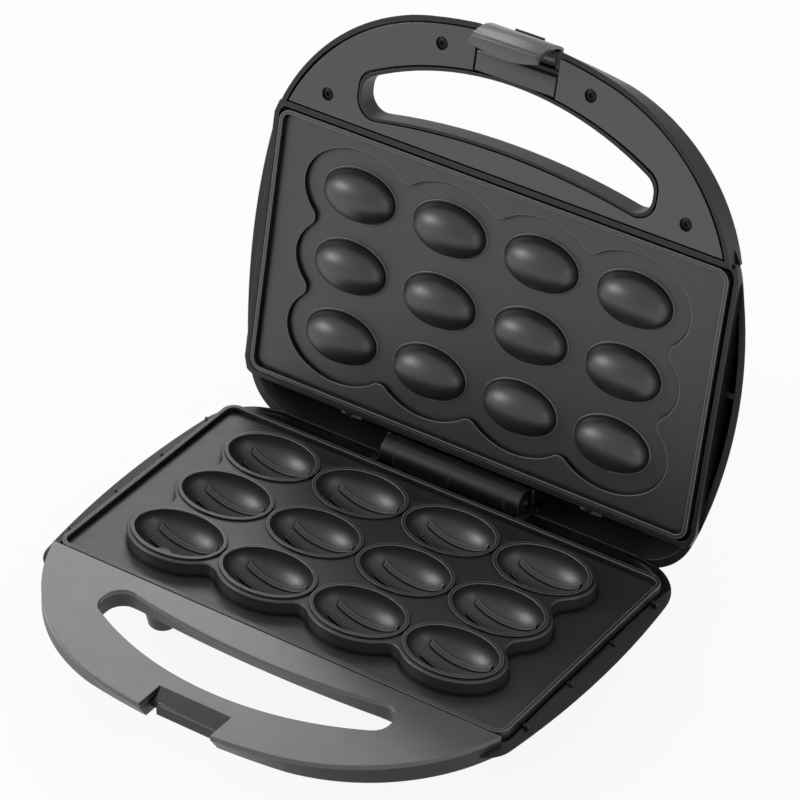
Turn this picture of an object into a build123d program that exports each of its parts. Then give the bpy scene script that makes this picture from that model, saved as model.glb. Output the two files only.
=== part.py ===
from build123d import *
from math import sqrt
import os

# Walnut cookie maker: two cast plates in a hinged pair of moulded housings.
# Everything is drawn closed, with x to the right and y to the rear from the middle of the plates'
# front edge, and z up from the table. The lid is swung open about its pin at the end, and the whole
# is then moved so that its box stands centred on the origin.

# Plates
PLATE_W = 230.0
PLATE_D = 126.6
PLATE_R = 6.0
PLATE_T = 3.2
RIM_W = 1.8
RIM_H = 2.5
BASE_RIM_Z = 42.0
RIM_GAP = 1.9
OPEN_ANGLE = 102.1

# Moulds: four across and three deep
MOULDS_X = 4
MOULDS_Y = 3
PITCH_X = 47.3
PITCH_Y = 34.2
CAVITY_A = 21.5
CAVITY_B = 14.5
CAVITY_DEPTH = 13.0
LIP_W = 1.6
LIP_H = 0.9
RIDGE_W = 2.0
RIDGE_H = 0.9
RIDGE_STEP = 6.4
RIDGES = 3
PLATEAU_H = 7.0
PLATEAU_WALL = 3.6
PLATEAU_NECK_R = 7.0
PLATEAU_EDGE_R = 0.8
RECESS_STEP = 2.0
RECESS_MARGIN = 3.5
RECESS_NECK_R = 5.0
DOME_A = 18.3
DOME_B = 11.7
DOME_H = 10.0
FLOOR_T = 3.0

# Heating
ELEMENT_R = 3.3
ELEMENT_END_X = 98.0
ELEMENT_SINK = 2.4
STRAP_SCREW_IN = 3.0
PLATE_SCREW_IN = 7.0
TAG_X = 4.0
TAG_W = 3.0
TAG_L = 3.5
GROOVE_CLEAR = 0.2
COLD_PIN_R = 1.3
COLD_PIN_L = 12.0
STRAP_W = 12.0
STRAP_T = 1.2
STRAP_OVERHANG = 5.0
SHIELD_T = 0.8
SHIELD_DROP = 22.0
SHIELD_WALL = 13.0
SHIELD_INSET = 4.0
SHIELD_SLOPE = 7.0
SHIELD_R = 18.0
THERMOSTAT_R = 8.0
THERMOSTAT_H = 9.0
FUSE_R = 2.0
FUSE_X = 18.0
FUSE_L = 16.0
LUG_X = 63.5
LUG_BACK = 4.8
LUG_W = 11.0
LUG_TAIL = 4.0
LUG_HOLE_R = 1.8
LUG_BOSS_R = 5.0
LUG_BOSS_LOW = 18.0
LUG_SCREW_L = 9.0

# Housings
WALL = 2.4
PLATE_GAP = 1.5
SHOULDER_DROP = 3.0
SHOULDER_IN = 7.0
BASE_EDGE_DROP = 5.6
BASE_HALF_W = 124.6
BASE_FRONT = 13.0
BASE_REAR_OVER = 13.8
BASE_BOW_R = 430.0
LID_EDGE_DROP = 4.5
LID_SIDE_DROP = 7.6
LID_ARCH_R = 544.0
LID_HALF_W = 128.2
LID_FRONT = 12.0
LID_REAR_OVER = 21.4
LID_BOW_R = 196.0
FRONT_CORNER_R = 14.0
REAR_CORNER_R = 27.0
WELL_DROP = 1.6
WELL_DEPTH = 20.0
WELL_REAR_T = 2.0
WELL_RIB_Y = 57.5
RIBS = 4
RIB_PITCH = 33.2
RIB_OUT = 2.9
RIB_L = 2.6
RIB_T = 1.2
RIB_H = 0.8
BASE_STEPS = ((0.0, 0.0), (8.4, 7.0), (20.4, 17.0), (30.4, 29.0))
LID_STEPS = ((0.0, 0.0), (12.4, 7.5), (28.0, 17.5), (41.4, 32.0))
FRONT_DRAW = 1.2
BASE_REAR_DRAW = 0.25
LID_REAR_DRAW = 0.9
SLOPE_WALL = 3.2

# Handle loops
HANDLE_REACH = 70.0
HANDLE_PROUD = 0.7
HANDLE_T = 9.4
HANDLE_UNDERCUT = 5.0
COVER_T = 2.2
HANDLE_END_X = 115.5
KNEE_X = 50.0
KNEE_Y = 63.5
FLANK_X = 90.2
FLANK_Y = 40.6
LOOP_HALF_W = 74.0
LOOP_NEAR = 17.2
LOOP_NEAR_END = 9.0
LOOP_NEAR_WALL = 11.5
LOOP_FAR = 46.6
LOOP_FAR_END = 26.4
LOOP_R = 8.4
LOOP_END_Z = 30.0
PANEL_EDGE = 2.4
PANEL_LOOP_EDGE = 1.4
PANEL_SEAM = 0.9
PANEL_SEAT = 0.8
PANEL_SCREWS = ((37.5, 54.3), (91.2, 13.8))
PANEL_HOLE_R = 3.1
PANEL_HEAD_H = 1.0
PANEL_BOSS_R = 4.5

# Hinge
HINGE_BACK = 10.8
KNUCKLE_R = 6.5
PIN_R = 2.0
PIN_CLEAR = 0.05
KNUCKLE_LONG = 29.0
KNUCKLE_SHORT = 7.5
KNUCKLE_GAP = 0.3
PIN_HEAD_T = 1.6
PIN_HEAD_R = 3.4
HINGE_SIDE = 4.0
BASE_NOTCH_DROP = 9.5
LID_NOTCH_RISE = 11.0

# Latch
NOTCH_HALF_W = 18.2
LATCH_HALF_W = 17.0
LATCH_LIP_W = 17.7
LATCH_T = 2.0
LATCH_PIN_R = 1.3
LATCH_PIN_V = 63.2
LATCH_PIN_H = 5.0
LATCH_PIN_IN = 2.5
LATCH_HUB_R = 3.0
LATCH_HUB_W = 14.0
LATCH_TOP = 8.0
LATCH_DROP = 12.4
LIP_FRONT = 62.1
LIP_T = 1.8
RAIL_FRONT = 61.4
RAIL_T = 3.2
RAIL_TOP = 2.4
RAIL_H = 3.6
RAMP_REAR = 54.6
RAIL_HALF_W = 15.2
LID_NOTCH_HALF_W = 20.0
LID_NOTCH_REAR = 48.0
NOTCH_OPEN = 59.0
CHEEK_T = 4.0

# Feet and base screws
FOOT_X = 76.0
FOOT_Y = 22.5
FOOT_REAR_IN = 9.6
FOOT_R = 6.6
FOOT_TOP_R = 9.6
FOOT_TOP_Z = 16.0
PAD_R = 5.8
PAD_T = 1.8
PAD_RECESS = 0.8
POST_R = 4.4
BOSS_TOP_DROP = 24.0
SCREW_R = 1.5
SCREW_HEAD_R = 2.9
SCREW_HEAD_H = 2.0
SCREW_CLEAR = 0.2

# Cord inlet
INLET_X = -52.0
INLET_Z = 19.0
INLET_BORE_R = 3.6
INLET_NECK_R = 5.4
INLET_FLANGE_R = 8.0
INLET_FLANGE_T = 2.0
SNOUT_R = 9.6
SNOUT_OVER = 12.4
SNOUT_L = 11.0
SNOUT_OUT = PLATE_D + SNOUT_OVER
SNOUT_IN = SNOUT_OUT - SNOUT_L
INLET_LIP = 1.0
TERMINAL_X = -47.0
TERMINAL_IN = 28.6
TERMINAL_Y = PLATE_D - TERMINAL_IN
TERMINAL_L = 30.0
TERMINAL_W = 14.0
TERMINAL_H = 10.0
TERMINAL_WAYS = 3

# Indicators
LENS_X = 9.0
LENS_Y = 44.0
LENS_R = 4.2
LENS_CAP_T = 1.2
LENS_STEM_R = 3.2
LAMP_R = 2.6
LAMP_L = 9.0

LID_RIM_Z = BASE_RIM_Z + RIM_GAP
HINGE_Y = PLATE_D + HINGE_BACK
HINGE_Z = BASE_RIM_Z + RIM_GAP / 2
MID_Y = PLATE_D / 2
HINGE_AXIS = Axis((0, HINGE_Y, HINGE_Z), (1, 0, 0))
HALF_SPAN_X = PITCH_X * (MOULDS_X - 1) / 2
HALF_SPAN_Y = PITCH_Y * (MOULDS_Y - 1) / 2
BASE_FIELD_Z = BASE_RIM_Z - RIM_H
BASE_TOP_Z = BASE_FIELD_Z + PLATEAU_H
BASE_PAD_Z = BASE_TOP_Z - CAVITY_DEPTH - FLOOR_T
LID_FIELD_Z = LID_RIM_Z + RIM_H
LID_FLOOR_Z = LID_FIELD_Z + RECESS_STEP
LID_PAD_Z = LID_FIELD_Z + (BASE_FIELD_Z - BASE_PAD_Z)
HULL_FLOOR_Z = BASE_RIM_Z - BASE_EDGE_DROP - BASE_STEPS[-1][0] + WALL
COVER_TOP_Z = BASE_RIM_Z + HANDLE_PROUD
PANEL_FACE_Z = LID_RIM_Z - HANDLE_PROUD


def flip(shape):
    # The lid's copy of a base shape: mirrored in the parting plane through the hinge pin.
    return mirror(shape, about=Plane.XY.offset(HINGE_Z))


def slab(face, z_low, z_high):
    return extrude(Pos(0, 0, z_low) * face, z_high - z_low, dir=(0, 0, 1))


def rect_face(width, y_front, y_rear, radius):
    face = Pos(0, (y_front + y_rear) / 2) * Rectangle(width, y_rear - y_front)
    return fillet(face.vertices(), radius)


def rod_x(x_low, x_high, y, z, radius):
    return Pos((x_low + x_high) / 2, y, z) * Rot(0, 90, 0) * Cylinder(radius, x_high - x_low)


def rod_z(x, y, z_low, z_high, radius):
    return Pos(x, y, (z_low + z_high) / 2) * Cylinder(radius, z_high - z_low)


def block(x_low, x_high, y_low, y_high, z_low, z_high):
    centre = Pos((x_low + x_high) / 2, (y_low + y_high) / 2, (z_low + z_high) / 2)
    return centre * Box(x_high - x_low, y_high - y_low, z_high - z_low)


def profile_x(points, x_low, x_high):
    # A closed outline of (y, z) points, drawn out along x.
    plane = Plane(origin=(x_low, 0, 0), x_dir=(0, 1, 0), z_dir=(1, 0, 0))
    return extrude(plane * make_face(Polyline(*points, close=True)), x_high - x_low, dir=(1, 0, 0))


def join(shapes):
    whole = shapes[0]
    for shape in shapes[1:]:
        whole = whole + shape
    return whole


def both_sides(shape):
    return [shape, mirror(shape, about=Plane.YZ)]


# Moulds

def mould_places():
    # Centres of the moulds, front row first.
    xs = [i * PITCH_X - HALF_SPAN_X for i in range(MOULDS_X)]
    ys = [MID_Y + j * PITCH_Y - HALF_SPAN_Y for j in range(MOULDS_Y)]
    return [(x, y) for y in ys for x in xs]


def is_neck(vertex, semi_a, semi_b):
    # A neck is a corner where two neighbouring ellipses cross.
    hits = 0
    for x, y in mould_places():
        share = ((vertex.X - x) / semi_a) ** 2 + ((vertex.Y - y) / semi_b) ** 2
        hits += abs(share - 1) < 0.01
    return hits == 2


def lobed_face(semi_a, semi_b, neck_r):
    # One ellipse round every mould, joined, with the necks between them rounded.
    face = Pos(0, MID_Y) * Rectangle(2 * HALF_SPAN_X, 2 * HALF_SPAN_Y)
    for x, y in mould_places():
        face += Pos(x, y) * Ellipse(semi_a, semi_b)
    return fillet([v for v in face.vertices() if is_neck(v, semi_a, semi_b)], neck_r)


def egg(semi_a, semi_b, semi_c):
    return scale(Sphere(1), by=(semi_a, semi_b, semi_c))


def cavity_tool():
    # A half walnut with lengthwise grooves, so the mould's wall keeps raised ridges between them.
    whole = egg(CAVITY_A, CAVITY_B, CAVITY_DEPTH)
    shrunk = egg(CAVITY_A - RIDGE_H, CAVITY_B - RIDGE_H, CAVITY_DEPTH - RIDGE_H)
    tool = whole
    for i in range(RIDGES):
        y = (i - (RIDGES - 1) / 2) * RIDGE_STEP
        tool -= Pos(0, y, 0) * Box(1.4 * CAVITY_A, RIDGE_W, 3 * CAVITY_DEPTH)
    return tool + shrunk


def plate_blank(field_z, rim_z, pad_z):
    # The flat plate with its raised rim and the thick pad behind the moulds.
    low, high = sorted((field_z, field_z + (pad_z - field_z) / abs(pad_z - field_z) * PLATE_T))
    blank = slab(rect_face(PLATE_W, 0, PLATE_D, PLATE_R), low, high)
    ring = rect_face(PLATE_W, 0, PLATE_D, PLATE_R)
    ring -= rect_face(PLATE_W - 2 * RIM_W, RIM_W, PLATE_D - RIM_W, PLATE_R - RIM_W)
    blank += slab(ring, min(field_z, rim_z), max(field_z, rim_z))
    half_w = HALF_SPAN_X + CAVITY_A
    half_d = HALF_SPAN_Y + CAVITY_B
    pad = rect_face(2 * half_w, MID_Y - half_d, MID_Y + half_d, CAVITY_B)
    return blank + slab(pad, min(field_z, pad_z), max(field_z, pad_z))


def element_path(z):
    # A hairpin between the rows of moulds, its ends at the right.
    bend_r = PITCH_Y / 2
    x_bend = bend_r - HALF_SPAN_X - CAVITY_A / 2
    y_low = MID_Y - bend_r
    y_high = MID_Y + bend_r
    leg_a = Line((ELEMENT_END_X, y_low, z), (x_bend, y_low, z))
    bend = ThreePointArc((x_bend, y_low, z), (x_bend - bend_r, MID_Y, z), (x_bend, y_high, z))
    leg_b = Line((x_bend, y_high, z), (ELEMENT_END_X, y_high, z))
    return Wire([leg_a, bend, leg_b])


def element_tube(z, radius):
    path = element_path(z)
    section = Plane(origin=path @ 0, z_dir=path % 0) * Circle(radius)
    return sweep(section, path=path)


def lower_plate():
    plate = plate_blank(BASE_FIELD_Z, BASE_RIM_Z, BASE_PAD_Z)
    plateau = slab(lobed_face(CAVITY_A + PLATEAU_WALL, CAVITY_B + PLATEAU_WALL, PLATEAU_NECK_R),
                   BASE_FIELD_Z, BASE_TOP_Z)
    plateau = fillet(plateau.faces().sort_by(Axis.Z)[-1].edges(), PLATEAU_EDGE_R)
    plate += plateau
    lip = slab(Ellipse(CAVITY_A + LIP_W, CAVITY_B + LIP_W), BASE_TOP_Z, BASE_TOP_Z + LIP_H)
    tool = cavity_tool() + slab(Ellipse(CAVITY_A, CAVITY_B), 0, 2 * LIP_H)
    plate += [Pos(x, y) * lip for x, y in mould_places()]
    plate -= [Pos(x, y, BASE_TOP_Z) * tool for x, y in mould_places()]
    for x, y in foot_places():
        plate += rod_z(x, y, BASE_RIM_Z - BOSS_TOP_DROP, BASE_FIELD_Z - PLATE_T / 2, POST_R)
        plate -= rod_z(x, y, BASE_RIM_Z - BOSS_TOP_DROP, BASE_PAD_Z - WALL, SCREW_R)
    for x, y in strap_places():
        plate -= rod_z(x, y, BASE_PAD_Z, BASE_PAD_Z + STRAP_SCREW_IN, SCREW_R)
    return plate - element_tube(element_z(), ELEMENT_R + GROOVE_CLEAR)


def upper_plate():
    plate = plate_blank(LID_FIELD_Z, LID_RIM_Z, LID_PAD_Z)
    recess = lobed_face(CAVITY_A + PLATEAU_WALL + RECESS_MARGIN, CAVITY_B + PLATEAU_WALL + RECESS_MARGIN,
                        RECESS_NECK_R)
    plate -= slab(recess, LID_FIELD_Z, LID_FLOOR_Z)
    dome = split(egg(DOME_A, DOME_B, DOME_H), bisect_by=Plane.XY, keep=Keep.BOTTOM)
    for x, y in mould_places():
        plate += Pos(x, y, LID_FLOOR_Z) * dome
    z_post = shield_top_z() - SHIELD_T
    for x, y in post_places():
        plate += rod_z(x, y, LID_PAD_Z, z_post, POST_R)
        plate -= rod_z(x, y, z_post - PLATE_SCREW_IN, z_post, SCREW_R)
    for x, y in strap_places():
        plate -= rod_z(x, y, LID_PAD_Z - STRAP_SCREW_IN, LID_PAD_Z, SCREW_R)
    return plate - flip(element_tube(element_z(), ELEMENT_R + GROOVE_CLEAR))


def shield_top_z():
    return LID_RIM_Z + SHIELD_DROP


def plate_screw(x, y):
    z = shield_top_z()
    head = rod_z(x, y, z, z + SCREW_HEAD_H, SCREW_HEAD_R)
    return head + rod_z(x, y, z - SHIELD_T - PLATE_SCREW_IN, z, SCREW_R)


def element_z():
    return BASE_PAD_Z - ELEMENT_R + ELEMENT_SINK


def lower_element():
    # Sheathed tube with its two cold pins.
    z = element_z()
    element = element_tube(z, ELEMENT_R)
    for y in element_rows():
        element += rod_x(ELEMENT_END_X - 1, ELEMENT_END_X + COLD_PIN_L, y, z, COLD_PIN_R)
    return element


def element_rows():
    return (MID_Y - PITCH_Y / 2, MID_Y + PITCH_Y / 2)


def strap_places():
    return [(-PITCH_X, MID_Y), (PITCH_X, MID_Y)]


def lower_straps():
    # Sprung straps that press the element into its groove, each held by one screw.
    z_high = element_z() - ELEMENT_R
    half = PITCH_Y / 2 + STRAP_OVERHANG
    straps = []
    for x, y in strap_places():
        strap = block(x - STRAP_W / 2, x + STRAP_W / 2, y - half, y + half, z_high - STRAP_T, z_high)
        straps.append(strap - rod_z(x, y, z_high - STRAP_T, z_high, SCREW_R + SCREW_CLEAR))
    return straps


def strap_screw(x, y):
    z = element_z() - ELEMENT_R - STRAP_T
    head = rod_z(x, y, z - SCREW_HEAD_H, z, SCREW_HEAD_R)
    return head + rod_z(x, y, z, BASE_PAD_Z + STRAP_SCREW_IN, SCREW_R)


def thermostat():
    # Round bimetal thermostat with two tags, against the back of the plate.
    z = BASE_PAD_Z - THERMOSTAT_H
    body = rod_z(0, MID_Y, z, BASE_PAD_Z, THERMOSTAT_R)
    for x in (-TAG_X, TAG_X):
        body += block(x - TAG_W / 2, x + TAG_W / 2, MID_Y - TAG_W / 2, MID_Y + TAG_W / 2, z - TAG_L, z)
    return body


def thermal_fuse(z_face, up):
    # Small cylinder clipped flat to the back of a plate.
    body = rod_x(FUSE_X, FUSE_X + FUSE_L, MID_Y, z_face + up * FUSE_R, FUSE_R)
    z_low, z_high = sorted((z_face, z_face + up * FUSE_R))
    return body + block(FUSE_X + FUSE_L / 4, FUSE_X + FUSE_L / 2, MID_Y - 2 * FUSE_R, MID_Y + 2 * FUSE_R, z_low, z_high)


def shield_form(inset):
    # Tray shape, narrower at its floor.
    y_front = SHIELD_INSET + inset
    y_rear = PLATE_D - SHIELD_INSET - inset
    width = PLATE_W - 2 * (SHIELD_INSET + inset)
    radius = SHIELD_R - inset
    low = rect_face(width - 2 * SHIELD_SLOPE, y_front + SHIELD_SLOPE, y_rear - SHIELD_SLOPE, radius)
    high = rect_face(width, y_front, y_rear, radius)
    return loft([low, Pos(0, 0, SHIELD_WALL) * high], ruled=True)


def shield_tray():
    # Pressed tray behind a plate, with two lugs at the rear and slots for the cold pins.
    z = BASE_RIM_Z - SHIELD_DROP
    tray = Pos(0, 0, z) * shield_form(0) - Pos(0, 0, z + SHIELD_T) * shield_form(SHIELD_T)
    y_wall = PLATE_D - SHIELD_INSET
    z_lug = z + SHIELD_WALL
    for x in (-LUG_X, LUG_X):
        lug = block(x - LUG_W / 2, x + LUG_W / 2, y_wall - SHIELD_T, lug_y() + LUG_TAIL, z_lug - SHIELD_T, z_lug)
        tray += lug
        tray -= rod_z(x, lug_y(), z, z_lug, LUG_HOLE_R)
    for y in element_rows():
        tray -= rod_x(PLATE_W / 2 - SHIELD_INSET - SHIELD_SLOPE, PLATE_W / 2, y, element_z(), COLD_PIN_R + 1)
    return tray


def lower_shield():
    # Posts and thermostat pass through the floor of this one.
    z = BASE_RIM_Z - SHIELD_DROP
    tray = shield_tray()
    for x, y in foot_places():
        tray -= rod_z(x, y, z, z + SHIELD_WALL, POST_R + 1)
    return tray - rod_z(0, MID_Y, z, z + SHIELD_T, THERMOSTAT_R + 3)


def upper_shield():
    # This one is held to the plate's posts by four screws.
    z = BASE_RIM_Z - SHIELD_DROP
    tray = shield_tray()
    for x, y in post_places():
        tray -= rod_z(x, y, z, z + SHIELD_T, SCREW_R + SCREW_CLEAR)
    return flip(tray)


def lug_y():
    return PLATE_D + LUG_BACK


def lug_screw(x):
    z = BASE_RIM_Z - SHIELD_DROP + SHIELD_WALL
    head = rod_z(x, lug_y(), z, z + SCREW_HEAD_H, SCREW_HEAD_R)
    return head + rod_z(x, lug_y(), z - LUG_SCREW_L, z, SCREW_R)


# Housings

def side_x(half_w, bow_r, y):
    return half_w - bow_r + sqrt(bow_r ** 2 - (y - MID_Y) ** 2)


def hull_face(half_w, y_front, y_rear, bow_r, z):
    # Barrel-sided outline with small front corners and large rear ones.
    front_x = side_x(half_w, bow_r, y_front)
    rear_x = side_x(half_w, bow_r, y_rear)
    right = ThreePointArc((front_x, y_front), (half_w, MID_Y), (rear_x, y_rear))
    left = ThreePointArc((-rear_x, y_rear), (-half_w, MID_Y), (-front_x, y_front))
    rear = Line((rear_x, y_rear), (-rear_x, y_rear))
    front = Line((-front_x, y_front), (front_x, y_front))
    face = make_face([right, rear, left, front])
    face = fillet([v for v in face.vertices() if v.Y < MID_Y], FRONT_CORNER_R)
    face = fillet([v for v in face.vertices() if v.Y > y_rear - 0.1], REAR_CORNER_R)
    return Pos(0, 0, z) * face


def hull(half_w, front, rear_over, bow_r, steps, z_edge, up, rear_draw, inset, cut):
    # A dished form whose sides draw in step by step away from its open edge.
    faces = []
    for away, side_in in steps:
        if away == steps[-1][0]:
            away -= cut
        faces.append(hull_face(half_w - side_in - inset, FRONT_DRAW * side_in + inset - front,
                               PLATE_D + rear_over - rear_draw * side_in - inset, bow_r, z_edge + up * away))
    return loft(faces)


def base_hull(inset, cut):
    return hull(BASE_HALF_W, BASE_FRONT, BASE_REAR_OVER, BASE_BOW_R, BASE_STEPS,
                BASE_RIM_Z - BASE_EDGE_DROP, -1, BASE_REAR_DRAW, inset, cut)


def lid_hull(inset, cut):
    return hull(LID_HALF_W, LID_FRONT, LID_REAR_OVER, LID_BOW_R, LID_STEPS,
                LID_RIM_Z + LID_EDGE_DROP, 1, LID_REAR_DRAW, inset, cut)


def shoulder():
    # The sloping ledge that rises from the base's widest line to the plate.
    low = hull_face(BASE_HALF_W, -BASE_FRONT, PLATE_D + BASE_REAR_OVER, BASE_BOW_R, BASE_RIM_Z - BASE_EDGE_DROP)
    high = hull_face(BASE_HALF_W - SHOULDER_IN, SHOULDER_IN - BASE_FRONT,
                     PLATE_D + BASE_REAR_OVER - SHOULDER_IN / 3, BASE_BOW_R, BASE_RIM_Z - SHOULDER_DROP)
    return loft([low, high], ruled=True)


def handle_face(undercut):
    # The D of the handle: a shallow front arc between two tighter flanks.
    reach = HANDLE_REACH - undercut
    knee_y = KNEE_Y - undercut / 2
    y_rear = -PLATE_GAP
    flank = ThreePointArc((HANDLE_END_X, y_rear), (FLANK_X, -FLANK_Y), (KNEE_X, -knee_y))
    front = ThreePointArc((KNEE_X, -knee_y), (0, -reach), (-KNEE_X, -knee_y))
    other = ThreePointArc((-KNEE_X, -knee_y), (-FLANK_X, -FLANK_Y), (-HANDLE_END_X, y_rear))
    return make_face([flank, front, other, Line((-HANDLE_END_X, y_rear), (HANDLE_END_X, y_rear))])


def loop_face(near, margin):
    # The hand opening; margin makes it larger all round.
    half_w = LOOP_HALF_W + margin
    far = ThreePointArc((-half_w, -LOOP_FAR_END - margin), (0, -LOOP_FAR - margin),
                        (half_w, -LOOP_FAR_END - margin))
    near_end = margin - LOOP_NEAR_END
    near_arc = ThreePointArc((half_w, near_end), (0, margin - near), (-half_w, near_end))
    right = Line((half_w, -LOOP_FAR_END - margin), (half_w, near_end))
    left = Line((-half_w, near_end), (-half_w, -LOOP_FAR_END - margin))
    face = make_face([far, right, near_arc, left])
    return fillet(face.vertices(), LOOP_R + margin / 2)


def handle_blank(undercut, z_wide, z_narrow):
    # The loop's outer form, narrower at the face that is away from the other half.
    return loft([Pos(0, 0, z_wide) * handle_face(0), Pos(0, 0, z_narrow) * handle_face(undercut)], ruled=True)


def handle_shell(z_wide, z_narrow, near):
    # The loop's moulded skin, its channel open towards the cover, before the hand opening is cut.
    up = 1 if z_narrow > z_wide else -1
    z_floor = z_narrow - up * WALL
    channel = offset(handle_face(HANDLE_UNDERCUT), -WALL) - loop_face(near, WALL)
    return handle_blank(HANDLE_UNDERCUT, z_wide, z_narrow) - slab(channel, min(z_floor, z_wide), max(z_floor, z_wide))


def base_loop():
    # The opening's near side slopes back below the cover.
    faces = [Pos(0, 0, COVER_TOP_Z) * loop_face(LOOP_NEAR, 0), Pos(0, 0, LOOP_END_Z) * loop_face(LOOP_NEAR_WALL, 0)]
    return loft(faces, ruled=True)


def notch_profile():
    # Ramp at the rear and an open front, as (y, z) points.
    z_high = COVER_TOP_Z + 1
    y_rail = RAIL_T - RAIL_FRONT
    z_rail = BASE_RIM_Z - RAIL_TOP
    y_out = -HANDLE_REACH - 5
    return ((-RAMP_REAR, z_high), (-RAMP_REAR, COVER_TOP_Z), (y_rail, z_rail), (y_rail, LOOP_END_Z),
            (y_out, LOOP_END_Z), (y_out, z_high))


def notch_cut():
    return profile_x(notch_profile(), -NOTCH_HALF_W, NOTCH_HALF_W)


def notch_solid(z_low, z_high, half_w, y_rear):
    # What the notch is cut from: solid cheeks and a solid rear.
    return block(-half_w - WALL, half_w + WALL, -HANDLE_REACH, y_rear + WALL, z_low, z_high)


def foot_places():
    return [(x, y) for y in (FOOT_Y, PLATE_D - FOOT_REAR_IN) for x in (-FOOT_X, FOOT_X)]


def post_places():
    # Where the lid's plate is screwed to its heat shield.
    return [(x, y) for y in (FOOT_Y, PLATE_D - FOOT_Y) for x in (-FOOT_X, FOOT_X)]


def foot(x, y):
    z_low = PAD_T - PAD_RECESS
    cone = Pos(x, y, (FOOT_TOP_Z + z_low) / 2) * Cone(FOOT_R, FOOT_TOP_R, FOOT_TOP_Z - z_low)
    return cone + rod_z(x, y, HULL_FLOOR_Z, BASE_RIM_Z - BOSS_TOP_DROP, POST_R + 1)


def foot_pad(x, y):
    return rod_z(x, y, 0, PAD_T, PAD_R)


def foot_bore(x, y):
    # Recess for the pad, then the counterbore and the screw's way through.
    bore = rod_z(x, y, 0, PAD_T, PAD_R)
    bore += rod_z(x, y, 0, HULL_FLOOR_Z + SCREW_HEAD_H, SCREW_HEAD_R + SCREW_CLEAR)
    return bore + rod_z(x, y, 0, BASE_RIM_Z - BOSS_TOP_DROP, SCREW_R + SCREW_CLEAR)


def base_screw(x, y):
    z_seat = HULL_FLOOR_Z + SCREW_HEAD_H
    head = rod_z(x, y, z_seat - SCREW_HEAD_H, z_seat, SCREW_HEAD_R)
    return head + rod_z(x, y, z_seat, BASE_PAD_Z - 2 * WALL, SCREW_R)


def knuckle(x_low, x_high):
    return rod_x(x_low, x_high, HINGE_Y, HINGE_Z, KNUCKLE_R)


def base_knuckles():
    # The long left-hand barrel and the short right-hand one, with webs down into the rear wall.
    y = HINGE_Y
    z = HINGE_Z
    web = ((y - KNUCKLE_R, z), (y + KNUCKLE_R, z), (y + 2.6, z - 6.5), (y + 0.8, z - 16), (y - 5, z - 16))
    spans = ((-KNUCKLE_LONG, -KNUCKLE_GAP / 2), (KNUCKLE_LONG + KNUCKLE_GAP, KNUCKLE_LONG + KNUCKLE_SHORT))
    return [knuckle(*span) + profile_x(web, *span) for span in spans]


def lid_knuckles():
    # The short left-hand barrel and the long right-hand one, with webs up into the lid.
    y = HINGE_Y
    z = HINGE_Z
    web = ((y - KNUCKLE_R + 1, z), (y + 5, z), (y + 5, z + 9), (y + 3.2, z + 16), (y - 5, z + 16))
    spans = ((-KNUCKLE_LONG - KNUCKLE_SHORT, -KNUCKLE_LONG - KNUCKLE_GAP), (KNUCKLE_GAP / 2, KNUCKLE_LONG))
    return [knuckle(*span) + profile_x(web, *span) for span in spans]


def hinge_bore(clearance):
    half = KNUCKLE_LONG + KNUCKLE_SHORT + 1
    return rod_x(-half, half, HINGE_Y, HINGE_Z, PIN_R + clearance)


def hinge_pin():
    half = KNUCKLE_LONG + KNUCKLE_SHORT
    pin = rod_x(-half, half + PIN_HEAD_T, HINGE_Y, HINGE_Z, PIN_R)
    return pin + rod_x(-half - PIN_HEAD_T, -half, HINGE_Y, HINGE_Z, PIN_HEAD_R)


def hinge_notch(y_low, z_low, z_high):
    half = KNUCKLE_LONG + KNUCKLE_SHORT + HINGE_SIDE
    return block(-half, half, y_low, HINGE_Y + HINGE_BACK, z_low, z_high)


def shoulder_ribs():
    # Small ribs on the ledge that locate the plate's ends.
    ribs = []
    x = PLATE_W / 2 + RIB_OUT
    for j in range(RIBS):
        y = MID_Y + (j - (RIBS - 1) / 2) * RIB_PITCH
        ribs += both_sides(block(x - RIB_L / 2, x + RIB_L / 2, y - RIB_T / 2, y + RIB_T / 2,
                                 BASE_RIM_Z - BASE_EDGE_DROP, BASE_RIM_Z - SHOULDER_DROP + RIB_H))
    return ribs


def lug_bosses(solid):
    # Screw bosses behind the plate, trimmed to the hull's outside.
    z_high = BASE_RIM_Z - SHIELD_DROP + SHIELD_WALL - SHIELD_T
    return [rod_z(x, lug_y(), LUG_BOSS_LOW, z_high, LUG_BOSS_R) & solid for x in (-LUG_X, LUG_X)]


def lug_bores():
    z_high = BASE_RIM_Z - SHIELD_DROP + SHIELD_WALL
    return [rod_z(x, lug_y(), z_high - LUG_SCREW_L, z_high, SCREW_R) for x in (-LUG_X, LUG_X)]


def rod_y(x, y_low, y_high, z, radius):
    return Pos(x, (y_low + y_high) / 2, z) * Rot(90, 0, 0) * Cylinder(radius, y_high - y_low)


def inlet_bush():
    # Soft bush in the cord's way out: flange outside, neck through the wall, lip inside.
    neck_in = SNOUT_OUT - WALL
    bush = rod_y(INLET_X, neck_in, SNOUT_OUT, INLET_Z, INLET_NECK_R)
    bush += rod_y(INLET_X, SNOUT_OUT, SNOUT_OUT + INLET_FLANGE_T, INLET_Z, INLET_FLANGE_R)
    bush += rod_y(INLET_X, neck_in - INLET_FLANGE_T, neck_in, INLET_Z, INLET_NECK_R + INLET_LIP)
    return bush - rod_y(INLET_X, neck_in - INLET_FLANGE_T, SNOUT_OUT + INLET_FLANGE_T, INLET_Z, INLET_BORE_R)


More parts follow.
